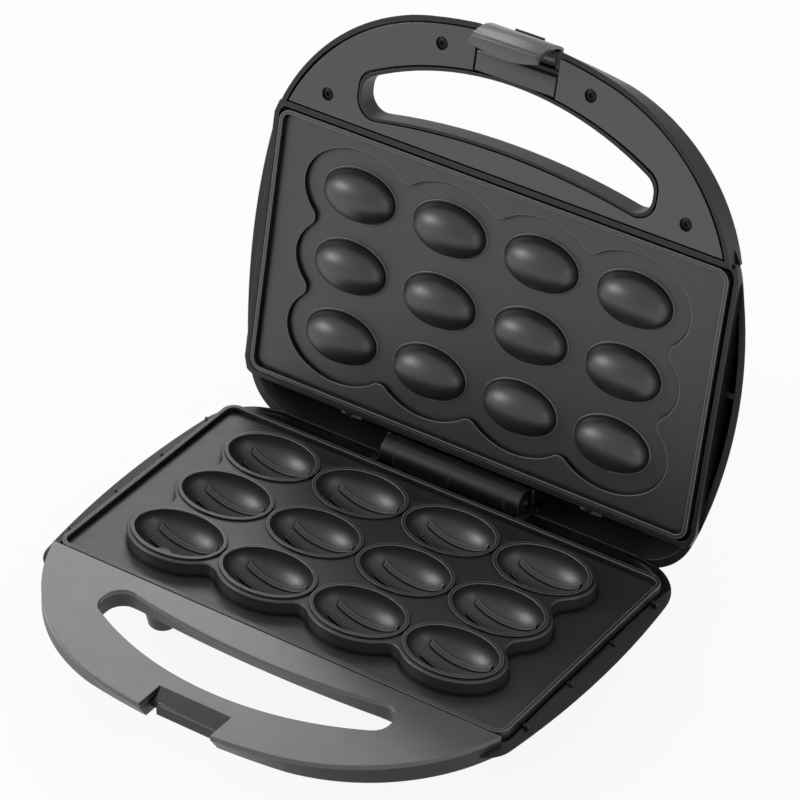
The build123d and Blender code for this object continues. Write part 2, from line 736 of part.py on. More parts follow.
def terminal_block():
    # Three-way block that stands on the housing's floor, with its screw towers.
    z = HULL_FLOOR_Z
    body = block(TERMINAL_X - TERMINAL_L / 2, TERMINAL_X + TERMINAL_L / 2, TERMINAL_Y - TERMINAL_W / 2,
                 TERMINAL_Y + TERMINAL_W / 2, z, z + TERMINAL_H)
    for i in range(TERMINAL_WAYS):
        x = TERMINAL_X + (i - (TERMINAL_WAYS - 1) / 2) * TERMINAL_L / TERMINAL_WAYS
        body -= rod_z(x, TERMINAL_Y, z + TERMINAL_H / 2, z + TERMINAL_H, SCREW_R)
    return body


def base_housing():
    z_wide = COVER_TOP_Z - COVER_T
    z_narrow = COVER_TOP_Z - HANDLE_T
    solid = base_hull(0, 0)
    body = solid + shoulder()
    body -= base_hull(SLOPE_WALL, WALL)
    plate_hole = rect_face(PLATE_W + 2 * PLATE_GAP, -PLATE_GAP, PLATE_D + BASE_REAR_OVER - SLOPE_WALL, PLATE_R)
    body -= slab(plate_hole, BASE_RIM_Z - BASE_EDGE_DROP, BASE_RIM_Z)
    body += handle_shell(z_wide, z_narrow, LOOP_NEAR_WALL)
    body += notch_solid(z_narrow, z_wide, NOTCH_HALF_W, -RAMP_REAR) & handle_blank(HANDLE_UNDERCUT, z_wide, z_narrow)
    body -= base_loop()
    body -= notch_cut()
    body += block(-RAIL_HALF_W, RAIL_HALF_W, -RAIL_FRONT, RAIL_T - RAIL_FRONT, z_narrow, BASE_RIM_Z - RAIL_TOP)
    body = join([body] + [foot(x, y) for x, y in foot_places()] + shoulder_ribs() + lug_bosses(solid))
    body -= [foot_bore(x, y) for x, y in foot_places()] + lug_bores()
    body -= hinge_notch(PLATE_D + PLATE_GAP, HINGE_Z - BASE_NOTCH_DROP, HINGE_Z)
    body = join([body] + base_knuckles())
    body -= hinge_bore(0)
    body += rod_y(INLET_X, SNOUT_IN, SNOUT_OUT, INLET_Z, SNOUT_R)
    body -= rod_y(INLET_X, SNOUT_IN - SNOUT_R, SNOUT_OUT - WALL, INLET_Z, SNOUT_R - WALL)
    return body - rod_y(INLET_X, SNOUT_OUT - WALL, SNOUT_OUT, INLET_Z, INLET_NECK_R)


def base_handle_cover():
    cover = slab(handle_face(0), COVER_TOP_Z - COVER_T, COVER_TOP_Z)
    cover -= slab(loop_face(LOOP_NEAR, 0), COVER_TOP_Z - COVER_T, COVER_TOP_Z)
    cover -= notch_cut()
    return cover


# Lid

def lid_notch():
    # Latch space: open to the front, closed at the back of the loop behind the pivot.
    z_back = PANEL_FACE_Z + HANDLE_T - WALL
    high = PANEL_FACE_Z + HANDLE_T + 1
    front = block(-LID_NOTCH_HALF_W, LID_NOTCH_HALF_W, -HANDLE_REACH - 1, -NOTCH_OPEN, PANEL_FACE_Z, high)
    return front + block(-LID_NOTCH_HALF_W, LID_NOTCH_HALF_W, -NOTCH_OPEN, -LID_NOTCH_REAR, PANEL_FACE_Z, z_back)


def panel_face(edge, loop_edge, notch_edge):
    face = offset(handle_face(0), -edge) - loop_face(LOOP_NEAR, loop_edge)
    y_mid = -(HANDLE_REACH + LID_NOTCH_REAR) / 2
    depth = HANDLE_REACH - LID_NOTCH_REAR + 2 * notch_edge
    return face - Pos(0, y_mid) * Rectangle(2 * (LID_NOTCH_HALF_W + notch_edge), depth)


def panel_screw_places():
    return [(side * x, -v) for x, v in PANEL_SCREWS for side in (-1, 1)]


def lid_handle_panel():
    z_high = PANEL_FACE_Z + COVER_T
    panel = slab(panel_face(PANEL_EDGE + PANEL_SEAM, PANEL_LOOP_EDGE + PANEL_SEAM, PANEL_SEAM), PANEL_FACE_Z, z_high)
    for x, y in panel_screw_places():
        panel -= rod_z(x, y, PANEL_FACE_Z, z_high - PANEL_SEAT, PANEL_HOLE_R)
        panel -= rod_z(x, y, PANEL_FACE_Z, z_high, SCREW_R + SCREW_CLEAR)
    return panel


def panel_screw(x, y):
    z = PANEL_FACE_Z + COVER_T - PANEL_SEAT
    head = rod_z(x, y, z - PANEL_HEAD_H, z, SCREW_HEAD_R)
    return head + rod_z(x, y, z, PANEL_FACE_Z + HANDLE_T - WALL, SCREW_R)


def arch():
    # Long shallow curve of the lid's lower edge along each side.
    z_axis = LID_RIM_Z + LID_SIDE_DROP - LID_ARCH_R
    return rod_x(-LID_HALF_W - 1, LID_HALF_W + 1, MID_Y, z_axis, LID_ARCH_R)


def lid_outline():
    # Outline of the lid's open edge.
    face = hull_face(LID_HALF_W, -LID_FRONT, PLATE_D + LID_REAR_OVER, LID_BOW_R, 0)
    return face


def well_face():
    # Straight wall round the plate, inside the lid.
    reach = PLATE_GAP + WALL
    outer = rect_face(PLATE_W + 2 * reach, -reach, PLATE_D + PLATE_GAP + WELL_REAR_T, PLATE_R)
    return outer - rect_face(PLATE_W + 2 * PLATE_GAP, -PLATE_GAP, PLATE_D + PLATE_GAP, PLATE_R)


def well_ribs():
    # Cross ribs from the well to the outer wall, halfway along each side.
    x = PLATE_W / 2 + PLATE_GAP
    return both_sides(block(x, LID_HALF_W, WELL_RIB_Y - RIB_T, WELL_RIB_Y + RIB_T,
                            LID_RIM_Z + LID_SIDE_DROP + RIB_H, LID_RIM_Z + WELL_DEPTH))


def arch_tool():
    reach = PLATE_GAP + WALL
    inside = block(-PLATE_W / 2 - reach, PLATE_W / 2 + reach, -HANDLE_REACH, PLATE_D + LID_REAR_OVER,
                   LID_RIM_Z, LID_RIM_Z + WELL_DEPTH)
    around = block(-LID_HALF_W, LID_HALF_W, -LID_FRONT, PLATE_D + LID_REAR_OVER, LID_RIM_Z, LID_RIM_Z + WELL_DEPTH)
    return (arch() & around) - inside


def lug_slots():
    y_wall = PLATE_D + PLATE_GAP
    z_high = BASE_RIM_Z - SHIELD_DROP + SHIELD_WALL
    half = LUG_W / 2 + KNUCKLE_GAP
    return [flip(block(x - half, x + half, y_wall, y_wall + WELL_REAR_T, z_high - SHIELD_T - KNUCKLE_GAP,
                       z_high + SCREW_HEAD_H + KNUCKLE_GAP)) for x in (-LUG_X, LUG_X)]


def lid_loop_and_cheeks(body):
    z_face = PANEL_FACE_Z
    z_back = PANEL_FACE_Z + HANDLE_T
    body += handle_shell(z_face, z_back, LOOP_NEAR)
    cheeks = notch_solid(z_face, z_back, LID_NOTCH_HALF_W + CHEEK_T - WALL, -LID_NOTCH_REAR)
    body += cheeks & handle_blank(HANDLE_UNDERCUT, z_face, z_back)
    body += [rod_z(x, y, z_face + COVER_T, z_back - WALL, PANEL_BOSS_R) for x, y in panel_screw_places()]
    body -= [rod_z(x, y, z_face + COVER_T, z_back - WALL, SCREW_R) for x, y in panel_screw_places()]
    body -= slab(loop_face(LOOP_NEAR, 0), z_face, z_back + SLOPE_WALL)
    body -= lid_notch()
    body -= slab(panel_face(PANEL_EDGE, PANEL_LOOP_EDGE, 0), z_face, z_face + COVER_T)
    half = LID_NOTCH_HALF_W + LATCH_PIN_IN
    return body - rod_x(-half, half, -LATCH_PIN_V, LID_RIM_Z + LATCH_PIN_H, LATCH_PIN_R)


def lid_shell():
    solid = lid_hull(0, 0)
    z_edge = LID_RIM_Z + LID_EDGE_DROP
    cavity = lid_hull(SLOPE_WALL, WALL) - slab(well_face(), z_edge, LID_RIM_Z + WELL_DEPTH)
    cavity -= well_ribs()
    body = solid - cavity
    body -= arch_tool()
    body += slab(well_face() & lid_outline(), LID_RIM_Z + WELL_DROP, z_edge)
    body = lid_loop_and_cheeks(body)
    body = join([body] + [flip(boss) for boss in lug_bosses(flip(solid))])
    body -= [flip(bore) for bore in lug_bores()]
    body -= lug_slots()
    body -= hinge_notch(HINGE_Y - KNUCKLE_R - PIN_CLEAR, LID_RIM_Z, HINGE_Z + LID_NOTCH_RISE)
    body = join([body] + lid_knuckles())
    z_top = z_edge + LID_STEPS[-1][0]
    body -= [rod_z(x, LENS_Y, z_top - WALL, z_top, LENS_STEM_R) for x in (-LENS_X, LENS_X)]
    return body - hinge_bore(PIN_CLEAR)


def lens(x):
    # Indicator lens: shallow cap outside and a stem through the lid's top.
    z = LID_RIM_Z + LID_EDGE_DROP + LID_STEPS[-1][0]
    cap = rod_z(x, LENS_Y, z, z + LENS_CAP_T, LENS_R)
    cap = fillet(cap.faces().sort_by(Axis.Z)[-1].edges(), LENS_CAP_T / 2)
    return cap + rod_z(x, LENS_Y, z - WALL, z, LENS_STEM_R)


def lamp(x):
    z = LID_RIM_Z + LID_EDGE_DROP + LID_STEPS[-1][0] - WALL
    return rod_z(x, LENS_Y, z - LAMP_L, z, LAMP_R)


# Latch

def latch():
    # Curved plate hung on the lid's pin, with a lip that turns in under the base handle.
    y_pin = -LATCH_PIN_V
    z_pin = LID_RIM_Z + LATCH_PIN_H
    z_top = LID_RIM_Z + LATCH_TOP
    z_lip = LID_RIM_Z - LATCH_DROP
    outer = (( -HANDLE_REACH + 2.6, z_top), (-HANDLE_REACH - 0.5, LID_RIM_Z - 1), (-HANDLE_REACH + 2.4, z_lip))
    inner = [(y + LATCH_T, z) for y, z in reversed(outer)]
    plane = Plane(origin=(-LATCH_HALF_W, 0, 0), x_dir=(0, 1, 0), z_dir=(1, 0, 0))
    skin = make_face([ThreePointArc(*outer), Line(outer[2], inner[0]), ThreePointArc(*inner), Line(inner[2], outer[0])])
    body = extrude(plane * skin, 2 * LATCH_HALF_W, dir=(1, 0, 0))
    body += block(-LATCH_LIP_W, LATCH_LIP_W, outer[2][0], -LIP_FRONT, z_lip - LIP_T, z_lip)
    body += block(-LATCH_HUB_W, LATCH_HUB_W, outer[0][0] + LATCH_T / 2, y_pin, z_pin - LATCH_HUB_R / 2,
                  z_pin + LATCH_HUB_R / 2)
    body += rod_x(-LATCH_HUB_W, LATCH_HUB_W, y_pin, z_pin, LATCH_HUB_R)
    return body - rod_x(-LATCH_HUB_W, LATCH_HUB_W, y_pin, z_pin, LATCH_PIN_R + PIN_CLEAR)


def latch_pin():
    half = LID_NOTCH_HALF_W + LATCH_PIN_IN
    return rod_x(-half, half, -LATCH_PIN_V, LID_RIM_Z + LATCH_PIN_H, LATCH_PIN_R)


# Assembly

def opened(shape):
    # Swings a lid piece open about the hinge pin.
    return shape.rotate(HINGE_AXIS, -OPEN_ANGLE)


def base_nodes():
    screws = Compound([base_screw(x, y) for x, y in foot_places()])
    return {
        "base_housing": base_housing(),
        "base_handle_cover": base_handle_cover(),
        "lower_plate": lower_plate(),
        "lower_element": lower_element(),
        "lower_element_straps": Compound(lower_straps()),
        "lower_strap_screws": Compound([strap_screw(x, y) for x, y in strap_places()]),
        "lower_heat_shield": lower_shield(),
        "lower_shield_screws": Compound([lug_screw(x) for x in (-LUG_X, LUG_X)]),
        "thermostat": thermostat(),
        "lower_thermal_fuse": thermal_fuse(BASE_PAD_Z, -1),
        "terminal_block": terminal_block(),
        "inlet_bush": inlet_bush(),
        "base_screws": screws,
        "foot_pads": Compound([foot_pad(x, y) for x, y in foot_places()]),
        "hinge_pin": hinge_pin(),
    }


def lid_nodes():
    return {
        "lid_shell": lid_shell(),
        "lid_handle_panel": lid_handle_panel(),
        "handle_panel_screws": Compound([panel_screw(x, y) for x, y in panel_screw_places()]),
        "upper_plate": upper_plate(),
        "upper_element": flip(lower_element()),
        "upper_element_straps": Compound([flip(strap) for strap in lower_straps()]),
        "upper_strap_screws": Compound([flip(strap_screw(x, y)) for x, y in strap_places()]),
        "upper_heat_shield": upper_shield(),
        "upper_shield_screws": Compound([flip(lug_screw(x)) for x in (-LUG_X, LUG_X)]),
        "upper_plate_screws": Compound([plate_screw(x, y) for x, y in post_places()]),
        "upper_thermal_fuse": thermal_fuse(LID_PAD_Z, 1),
        "power_lens": lens(-LENS_X),
        "ready_lens": lens(LENS_X),
        "power_lamp": lamp(-LENS_X),
        "ready_lamp": lamp(LENS_X),
        "latch": latch(),
        "latch_pin": latch_pin(),
    }


nodes = base_nodes()
for name, shape in lid_nodes().items():
    nodes[name] = opened(shape)
box = Compound(list(nodes.values())).bounding_box()
shift = Pos(-box.center().X, -box.center().Y, -box.min.Z)
os.makedirs("parts", exist_ok=True)
for name, shape in nodes.items():
    export_step(shift * shape, "parts/" + name + ".step")
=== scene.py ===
import math

import bmesh
import bpy
from mathutils import Matrix, Vector

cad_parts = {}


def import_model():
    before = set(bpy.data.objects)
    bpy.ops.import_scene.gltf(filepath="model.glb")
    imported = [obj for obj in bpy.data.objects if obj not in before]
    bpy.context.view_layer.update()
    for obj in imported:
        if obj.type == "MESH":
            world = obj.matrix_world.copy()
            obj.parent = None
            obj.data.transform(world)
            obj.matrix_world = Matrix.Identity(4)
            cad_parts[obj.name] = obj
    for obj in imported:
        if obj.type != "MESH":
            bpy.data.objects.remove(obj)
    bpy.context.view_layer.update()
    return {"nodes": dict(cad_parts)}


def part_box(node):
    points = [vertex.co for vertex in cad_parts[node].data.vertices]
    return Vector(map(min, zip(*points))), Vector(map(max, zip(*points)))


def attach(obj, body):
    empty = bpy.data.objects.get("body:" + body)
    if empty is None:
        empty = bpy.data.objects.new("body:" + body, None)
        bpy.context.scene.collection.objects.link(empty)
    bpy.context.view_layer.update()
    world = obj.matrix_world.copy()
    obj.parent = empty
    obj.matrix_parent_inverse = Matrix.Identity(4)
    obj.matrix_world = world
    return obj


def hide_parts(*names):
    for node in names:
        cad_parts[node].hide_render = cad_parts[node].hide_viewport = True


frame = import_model()
MM = 0.001

# Front edge of the plates in this frame, and the height of the base's rim
PLATE_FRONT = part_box("lower_plate")[0].y
RIM_Z = 42.0 * MM


# Colours and nodes

def linear(hex_code):
    """Colour as an sRGB hex, turned to the linear values the nodes use."""
    values = []
    for i in (0, 2, 4):
        c = int(hex_code[i:i + 2], 16) / 255
        values.append(c / 12.92 if c <= 0.04045 else ((c + 0.055) / 1.055) ** 2.4)
    return (*values, 1.0)


def add(tree, kind, inputs=None, **settings):
    """A node with its settings, and its inputs either set or linked, each by its name or number.

    A mix of two colours takes its share on input 0 and the colours on 6 and 7, and gives output 2.
    """
    node = tree.nodes.new(kind)
    for key, value in settings.items():
        setattr(node, key, value)
    for key, value in (inputs or {}).items():
        if isinstance(value, bpy.types.NodeSocket):
            tree.links.new(value, node.inputs[key])
        else:
            node.inputs[key].default_value = value
    return node


def new_material(name):
    """Empty finish: the material, its tree, its shader, and the position on the piece in metres."""
    material = bpy.data.materials.new(name)
    material.use_nodes = True
    tree = material.node_tree
    tree.nodes.clear()
    shader = add(tree, "ShaderNodeBsdfPrincipled")
    add(tree, "ShaderNodeOutputMaterial", {"Surface": shader.outputs[0]})
    return material, tree, shader, add(tree, "ShaderNodeTexCoord").outputs["Object"]


def drift(tree, at, size_mm, low, high, detail=2.0):
    """Value that wanders between about low and high over this many millimetres."""
    waves = add(tree, "ShaderNodeTexNoise", {"Vector": at, "Scale": 1000 / size_mm, "Detail": detail})
    return add(tree, "ShaderNodeMapRange", {"Value": waves.outputs["Fac"], "To Min": low,
                                            "To Max": high}).outputs[0]


# Agreement of the softened normal with the face's own, which is 1 on a flat face, where the painted highlight
# on an edge starts and where it is full
EDGE_HIGHLIGHT_STARTS = 0.995
EDGE_HIGHLIGHT_FULL = 0.90

# Openness, which is 1 away from all other surfaces, where an edge gets no painted highlight and where it gets
# all of it
SHELTERED = 0.82
EXPOSED = 0.96

# Openness where the painted shade in a corner is at its darkest, and where it is no longer darkened
CORNER_DARK = 0.5
CORNER_ENDS = 0.86


def painted_edge_highlights_and_crease_shade(tree, shader, color, edge_mm, crease_mm, edge_highlight_color, crease_shade_level):
    """Painted highlights that lighten the colour along the edges, and painted shade in which colour and gloss
    die away in the tight corners.
    """
    rounded = add(tree, "ShaderNodeBevel", {"Radius": edge_mm * MM}, samples=6).outputs[0]
    flat = add(tree, "ShaderNodeNewGeometry").outputs["Normal"]
    turn = add(tree, "ShaderNodeVectorMath", {0: rounded, 1: flat}, operation="DOT_PRODUCT")
    edge = add(tree, "ShaderNodeMapRange", {"Value": turn.outputs["Value"], "From Min": EDGE_HIGHLIGHT_STARTS,
                                            "From Max": EDGE_HIGHLIGHT_FULL}).outputs[0]
    hollow = add(tree, "ShaderNodeAmbientOcclusion", {"Distance": crease_mm * MM}, samples=6,
                 only_local=True).outputs["AO"]
    open_edge = add(tree, "ShaderNodeMapRange", {"Value": hollow, "From Min": SHELTERED,
                                                 "From Max": EXPOSED}).outputs[0]
    edge_highlight_share = add(tree, "ShaderNodeMath", {0: edge, 1: open_edge}, operation="MULTIPLY").outputs[0]
    # Painted highlight: the colour is lightened along open edges
    highlighted = add(tree, "ShaderNodeMix", {0: edge_highlight_share, 6: color, 7: linear(edge_highlight_color)},
                  data_type="RGBA").outputs[2]
    # Painted shade: the colour is darkened in tight corners by their occlusion
    shade = add(tree, "ShaderNodeMapRange", {"Value": hollow, "From Min": CORNER_DARK,
                                             "From Max": CORNER_ENDS, "To Min": crease_shade_level,
                                             "To Max": 1.0}).outputs[0]
    tinted = add(tree, "ShaderNodeVectorMath", {0: highlighted, 1: shade}, operation="MULTIPLY").outputs[0]
    tree.links.new(tinted, shader.inputs["Base Color"])
    # Painted shade in the reflection too: the specular tint is darkened in the same corners
    gloss = add(tree, "ShaderNodeMix", {0: shade, 6: (0, 0, 0, 1), 7: (1, 1, 1, 1)}, data_type="RGBA")
    tree.links.new(gloss.outputs[2], shader.inputs["Specular Tint"])


def bumps(tree, shader, height, depth_mm, edge_mm):
    """Bumps of this depth over softly rounded edges."""
    rounded = add(tree, "ShaderNodeBevel", {"Radius": edge_mm * MM}, samples=4).outputs[0]
    bumped = add(tree, "ShaderNodeBump", {"Height": height, "Strength": 1.0, "Distance": depth_mm * MM,
                                          "Normal": rounded}).outputs[0]
    tree.links.new(bumped, shader.inputs["Normal"])


# Materials

# Sizes of the patterns in mm. Grain, fleck, grit, pores and tool lines are drawn coarser than the real ones,
# which would be too fine to show.
TONE_DRIFT = 38
GLOSS_DRIFT = 9
COAT_DRIFT = 30
COAT_GLOSS_DRIFT = 6
COAT_PEEL = 0.9
COAT_FLECK = 0.8
STEEL_GLOSS_DRIFT = 4
DUST = 3
RUBBER_GLOSS_DRIFT = 2
RUBBER_GRIT = 0.5
CLAY_CLOUD = 2
CLAY_GLOSS_DRIFT = 1
PORES = 0.4
TINT_CLOUD = 2
LENS_GLOSS_DRIFT = 1
SWIRL = 1.5

# Width of a steel's lines as a share of their length
ALONG_THE_LINES = 0.06


def moulded_plastic(name, dark, light, edge, rough_low, rough_high, grain_mm, depth_mm, specular):
    """Injection-moulded nylon: fine mould grain and slow drifts of tone and gloss."""
    material, tree, shader, at = new_material(name)
    grain = add(tree, "ShaderNodeTexNoise", {"Vector": at, "Scale": 1000 / grain_mm, "Detail": 3.0,
                                             "Roughness": 0.6}).outputs["Fac"]
    tone = drift(tree, at, TONE_DRIFT, 0.15, 0.85)
    color = add(tree, "ShaderNodeMix", {0: tone, 6: linear(dark), 7: linear(light)},
                data_type="RGBA").outputs[2]
    # Painted highlights along the edges in the edge colour, and painted shade in the tight corners
    painted_edge_highlights_and_crease_shade(tree, shader, color, edge_mm=0.45, crease_mm=1.2, edge_highlight_color=edge, crease_shade_level=0.12)
    tree.links.new(drift(tree, at, GLOSS_DRIFT, rough_low, rough_high), shader.inputs["Roughness"])
    shader.inputs["Specular IOR Level"].default_value = specular
    bumps(tree, shader, grain, depth_mm, edge_mm=0.5)
    return material


def coated_casting():
    """Die-cast aluminium under a sprayed non-stick coat: orange peel, fine fleck and soft sheen."""
    material, tree, shader, at = new_material("nonstick_coated_casting")
    peel = add(tree, "ShaderNodeTexNoise", {"Vector": at, "Scale": 1000 / COAT_PEEL, "Detail": 3.0,
                                            "Roughness": 0.55}).outputs["Fac"]
    speck = add(tree, "ShaderNodeTexVoronoi", {"Vector": at, "Scale": 1000 / COAT_FLECK}).outputs["Distance"]
    fleck = add(tree, "ShaderNodeMapRange", {"Value": speck, "From Max": 0.22, "To Min": 0.3,
                                             "To Max": 0.0}).outputs[0]
    tone = drift(tree, at, COAT_DRIFT, 0.1, 0.9)
    base = add(tree, "ShaderNodeMix", {0: tone, 6: linear("1b1b1c"), 7: linear("212122")},
               data_type="RGBA").outputs[2]
    color = add(tree, "ShaderNodeMix", {0: fleck, 6: base, 7: linear("4a4a4c")}, data_type="RGBA").outputs[2]
    # Painted highlights along the edges in pale grey, and painted shade that nearly blacks out the tight
    # corners
    painted_edge_highlights_and_crease_shade(tree, shader, color, edge_mm=0.55, crease_mm=2.6, edge_highlight_color="909092",
                      crease_shade_level=0.02)
    tree.links.new(drift(tree, at, COAT_GLOSS_DRIFT, 0.37, 0.45), shader.inputs["Roughness"])
    shader.inputs["Specular IOR Level"].default_value = 1.0
    bumps(tree, shader, peel, depth_mm=0.02, edge_mm=0.6)
    return material


def worked_steel(name, color, line_color, roughness, streak_mm):
    """Steel with the fine lines that drawing, rolling or turning leaves."""
    material, tree, shader, at = new_material(name)
    stretched = add(tree, "ShaderNodeMapping", {"Vector": at, "Scale": (1.0, ALONG_THE_LINES, 1.0)})
    lines = add(tree, "ShaderNodeTexNoise", {"Vector": stretched.outputs[0], "Scale": 1000 / streak_mm,
                                             "Detail": 3.0}).outputs["Fac"]
    share = add(tree, "ShaderNodeMapRange", {"Value": lines, "To Min": 0.2, "To Max": 0.8}).outputs[0]
    tone = add(tree, "ShaderNodeMix", {0: share, 6: linear(color), 7: linear(line_color)}, data_type="RGBA")
    tree.links.new(tone.outputs[2], shader.inputs["Base Color"])
    gloss = drift(tree, at, STEEL_GLOSS_DRIFT, roughness - 0.06, roughness + 0.08)
    tree.links.new(gloss, shader.inputs["Roughness"])
    shader.inputs["Metallic"].default_value = 1.0
    bumps(tree, shader, lines, depth_mm=0.01, edge_mm=0.2)
    return material


def rubber():
    """Moulded rubber, dull and faintly dusty."""
    material, tree, shader, at = new_material("moulded_rubber")
    dust = add(tree, "ShaderNodeTexNoise", {"Vector": at, "Scale": 1000 / DUST, "Detail": 3.0})
    tone = add(tree, "ShaderNodeMix", {0: dust.outputs["Fac"], 6: linear("1c1c1c"), 7: linear("2a2a29")},
               data_type="RGBA")
    tree.links.new(tone.outputs[2], shader.inputs["Base Color"])
    tree.links.new(drift(tree, at, RUBBER_GLOSS_DRIFT, 0.62, 0.8), shader.inputs["Roughness"])
    grit = add(tree, "ShaderNodeTexNoise", {"Vector": at, "Scale": 1000 / RUBBER_GRIT})
    bumps(tree, shader, grit.outputs["Fac"], depth_mm=0.02, edge_mm=0.4)
    return material


def ceramic():
    """Pressed steatite and phenolic, off-white and slightly porous."""
    material, tree, shader, at = new_material("pressed_steatite")
    cloud = add(tree, "ShaderNodeTexNoise", {"Vector": at, "Scale": 1000 / CLAY_CLOUD, "Detail": 3.0})
    tone = add(tree, "ShaderNodeMix", {0: cloud.outputs["Fac"], 6: linear("d8d2c2"), 7: linear("c6bfae")},
               data_type="RGBA")
    tree.links.new(tone.outputs[2], shader.inputs["Base Color"])
    tree.links.new(drift(tree, at, CLAY_GLOSS_DRIFT, 0.45, 0.65), shader.inputs["Roughness"])
    pores = add(tree, "ShaderNodeTexNoise", {"Vector": at, "Scale": 1000 / PORES})
    bumps(tree, shader, pores.outputs["Fac"], depth_mm=0.02, edge_mm=0.3)
    return material


def lens(name, color, swirl_color):
    """Injection-moulded clear plastic with a tint, glossy and with a faint swirl from the mould."""
    material, tree, shader, at = new_material(name)
    cloud = add(tree, "ShaderNodeTexNoise", {"Vector": at, "Scale": 1000 / TINT_CLOUD, "Detail": 1.0})
    tone = add(tree, "ShaderNodeMix", {0: cloud.outputs["Fac"], 6: linear(color), 7: linear(swirl_color)},
               data_type="RGBA")
    tree.links.new(tone.outputs[2], shader.inputs["Base Color"])
    gloss = drift(tree, at, LENS_GLOSS_DRIFT, 0.08, 0.16, detail=1.0)
    tree.links.new(gloss, shader.inputs["Roughness"])
    shader.inputs["Transmission Weight"].default_value = 0.4
    swirl = add(tree, "ShaderNodeTexNoise", {"Vector": at, "Scale": 1000 / SWIRL, "Detail": 1.0})
    bumps(tree, shader, swirl.outputs["Fac"], depth_mm=0.01, edge_mm=0.3)
    return material


# Each edge colour below is that of the painted highlight along the piece's edges
# From an eroded mould, which leaves it dull and evenly grained
shell_plastic = moulded_plastic("textured_nylon_shell", dark="101011", light="161617", edge="505052",
                                rough_low=0.34, rough_high=0.44, grain_mm=0.55, depth_mm=0.02, specular=0.5)
# From a satin mould, smoother and with a broad sheen
handle_plastic = moulded_plastic("satin_nylon_handle", dark="262627", light="2b2b2c", edge="5e5e60",
                                 rough_low=0.17, rough_high=0.24, grain_mm=0.45, depth_mm=0.004, specular=1.0)
# From a polished mould, the palest of the three, with bright painted highlights along its edges
latch_plastic = moulded_plastic("polished_nylon_latch", dark="4a4a4c", light="505052", edge="808082",
                                rough_low=0.22, rough_high=0.3, grain_mm=0.3, depth_mm=0.004, specular=0.8)
casting = coated_casting()
# Steel tube drawn through a die and browned by its own heat
sheath = worked_steel("drawn_steel_sheath", "5b5752", "6c6863", roughness=0.42, streak_mm=0.5)
# Cold-rolled strip, bright along its rolling lines
strip = worked_steel("cold_rolled_strip", "8f8f8e", "a5a5a4", roughness=0.34, streak_mm=0.4)
# Aluminised sheet, pale and a little cloudy
sheet_steel = worked_steel("aluminised_sheet", "9a9b9c", "b4b5b6", roughness=0.4, streak_mm=0.9)
# Screws blackened in oil, nearly as dark as the plastic round them
screw_steel = worked_steel("blackened_screw", "1e1e1f", "38383a", roughness=0.36, streak_mm=0.2)
# Ground pins, mid grey and the smoothest of the steels
pin_steel = worked_steel("ground_pin", "4a4a4a", "6a6a69", roughness=0.3, streak_mm=0.2)
foot_rubber = rubber()
steatite = ceramic()

FINISHES = {
    shell_plastic: ("base_housing", "lid_shell"),
    handle_plastic: ("base_handle_cover", "lid_handle_panel"),
    latch_plastic: ("latch",),
    casting: ("lower_plate", "upper_plate"),
    sheath: ("lower_element", "upper_element", "lower_thermal_fuse", "upper_thermal_fuse"),
    strip: ("lower_element_straps", "upper_element_straps"),
    sheet_steel: ("lower_heat_shield", "upper_heat_shield"),
    screw_steel: ("lower_strap_screws", "lower_shield_screws", "base_screws", "handle_panel_screws",
                  "upper_strap_screws", "upper_shield_screws", "upper_plate_screws"),
    pin_steel: ("hinge_pin", "latch_pin"),
    foot_rubber: ("foot_pads", "inlet_bush"),
    steatite: ("thermostat", "terminal_block"),
    lens("red_indicator_lens", "a01515", "7a1010"): ("power_lens",),
    lens("green_indicator_lens", "148030", "0e5a22"): ("ready_lens",),
    lens("neon_lamp_glass", "d8c8b0", "b9a88e"): ("power_lamp", "ready_lamp"),
}
for material, names in FINISHES.items():
    for name in names:
        node = frame["nodes"][name]
        node.data.materials.clear()
        node.data.materials.append(material)


# Shapes in millimetres, drawn with the lid shut, y = 0 at the plates' front edge

# How far the lid stands open, and the moves that bring a shape to its place in the frame
LID_ANGLE = 102.1
HINGE = (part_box("hinge_pin")[0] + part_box("hinge_pin")[1]) / 2
SWING = Matrix.Rotation(math.radians(-LID_ANGLE), 4, "X")
OPEN = Matrix.Translation(HINGE) @ SWING @ Matrix.Translation(-HINGE)
TO_FRAME = Matrix.Translation((0, PLATE_FRONT, 0)) @ Matrix.Scale(MM, 4)

# Plates and domes
PLATE_D = 126.6
DOME_COLUMNS = 4
DOME_ROWS = 3
DOME_PITCH_X = 47.3
DOME_PITCH_Y = 34.2
DOME_FOOT_Z = 48.4
DOME_RIM_HALF_L = 19.2
DOME_RIM_HALF_W = 12.6
DOME_RIM_R = 0.42

# Latch, with the middle of its pin
PIN_Y = -63.2
PIN_Z = 48.9
HUB_R = 3.3
HUB_HALF = 16.9
WEB_HALF = 14
WEB_Y = -67.0
WEB_Z = (47.4, 50.4)
LATCH_HALF = 17.0
LATCH_OUT = -70.2
LATCH_TOP = 51.9
LATCH_BELLY = 42.9
LATCH_LOW = 29.7
LATCH_WALL = 2.0
LATCH_EDGE_R = 0.35
LIP_T = 1.8
LIP_HALF = 17.7
LIP_ROOT_HALF = 15.8
LIP_TIP_Y = -62.1
LIP_END_Y = -65.2
LIP_ROOT_Y = -68.4
GRIP_RIBS = 3
GRIP_HALF = 7.4
GRIP_PITCH = 1.7
GRIP_RIB_W = 0.8
GRIP_LEAN = 0.35

# Notches that the latch stands in
FACE_Z = 43.2
LAND_T = 2.4
NOTCH_HALF = 20.1
NOTCH_INSET = 0.15
CHEEK_NEAR = 17.5
RAMP_HALF = 17.2

